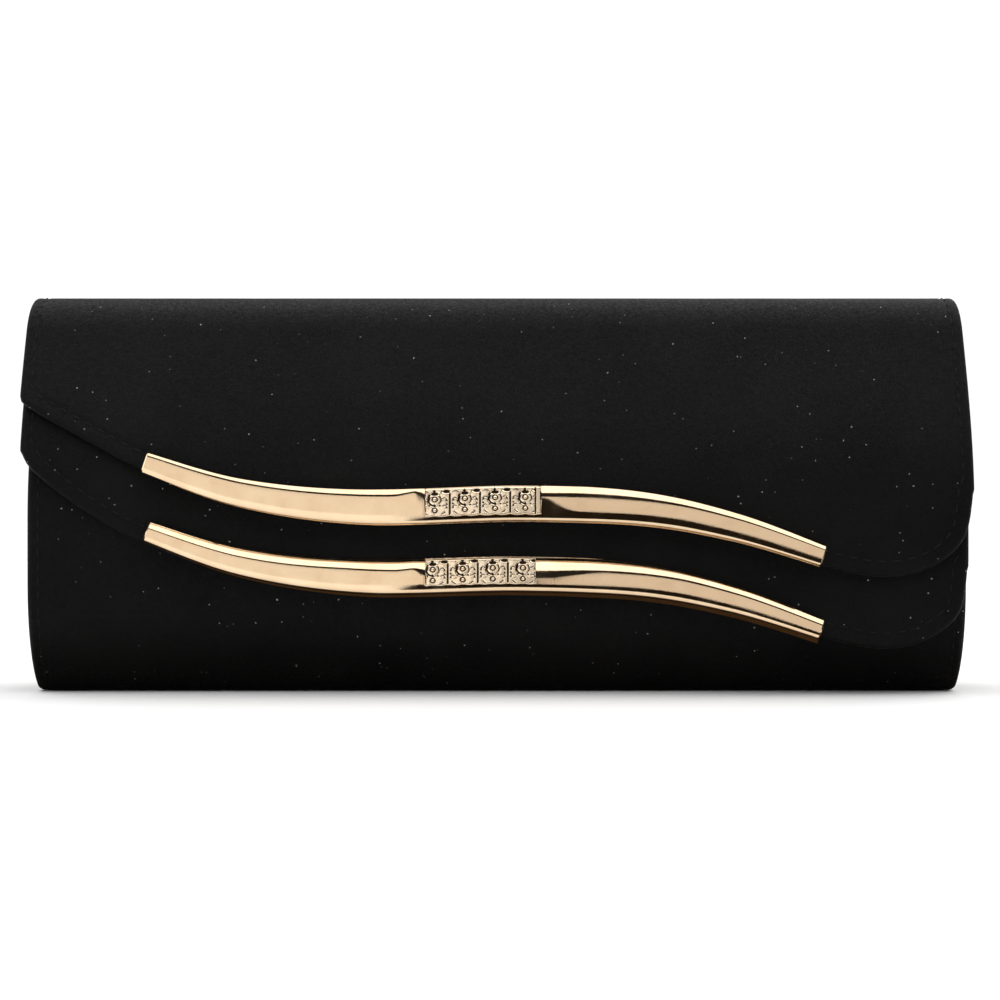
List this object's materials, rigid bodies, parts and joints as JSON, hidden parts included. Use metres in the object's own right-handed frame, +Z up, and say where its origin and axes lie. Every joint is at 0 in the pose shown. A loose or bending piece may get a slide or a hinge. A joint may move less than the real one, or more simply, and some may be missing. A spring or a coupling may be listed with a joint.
{
  "type": "clutch purse",
  "caption": "Long, low evening clutch purse in black glitter fabric with layered, slanted front flaps that each end in a curved gold-coloured metal bar.",
  "frame": {"origin": "centre of the flat of the base, where the purse stands", "axes": "+X to the right as the front is seen, front towards -Y, +Z up"},
  "size_m": [0.2496, 0.0567, 0.106],
  "materials": {
    "glitter_fabric": "matte",
    "satin_lining": "satin",
    "greyboard": "matte",
    "interlining": "matte",
    "gold_metal": "polished",
    "nickel_hardware": "satin"
  },
  "bodies": {
    "body": {"body_cover": "glitter_fabric", "front_board": "greyboard", "base_board": "greyboard", "back_board": "greyboard", "body_lining": "satin_lining", "slip_pocket": "satin_lining", "gusset_left": "glitter_fabric", "gusset_right": "glitter_fabric", "snap_socket": "nickel_hardware", "snap_socket_washer": "nickel_hardware"},
    "inner_flap": {"inner_flap_cover": "glitter_fabric", "inner_flap_board": "interlining", "inner_flap_lining": "satin_lining", "lower_bar": "gold_metal", "lower_bar_screw_1": "nickel_hardware", "lower_bar_screw_2": "nickel_hardware", "lower_bar_screw_3": "nickel_hardware", "snap_stud": "nickel_hardware", "snap_stud_washer": "nickel_hardware"},
    "outer_flap": {"outer_flap_cover": "glitter_fabric", "outer_flap_board": "interlining", "outer_flap_lining": "satin_lining", "upper_bar": "gold_metal", "upper_bar_screw_1": "nickel_hardware", "upper_bar_screw_2": "nickel_hardware", "upper_bar_screw_3": "nickel_hardware"}
  },
  "joints": [
    {"name": "inner_flap_fold", "type": "hinge", "parent": "body", "child": "inner_flap", "pos_m": [0, 0.01819, 0.09096], "axis": [-1, 0, 0], "range_deg": [0, 110]},
    {"name": "outer_flap_fold", "type": "hinge", "parent": "inner_flap", "child": "outer_flap", "pos_m": [0, 0.01819, 0.09096], "axis": [-1, 0, 0], "range_deg": [0, 65]}
  ]
}
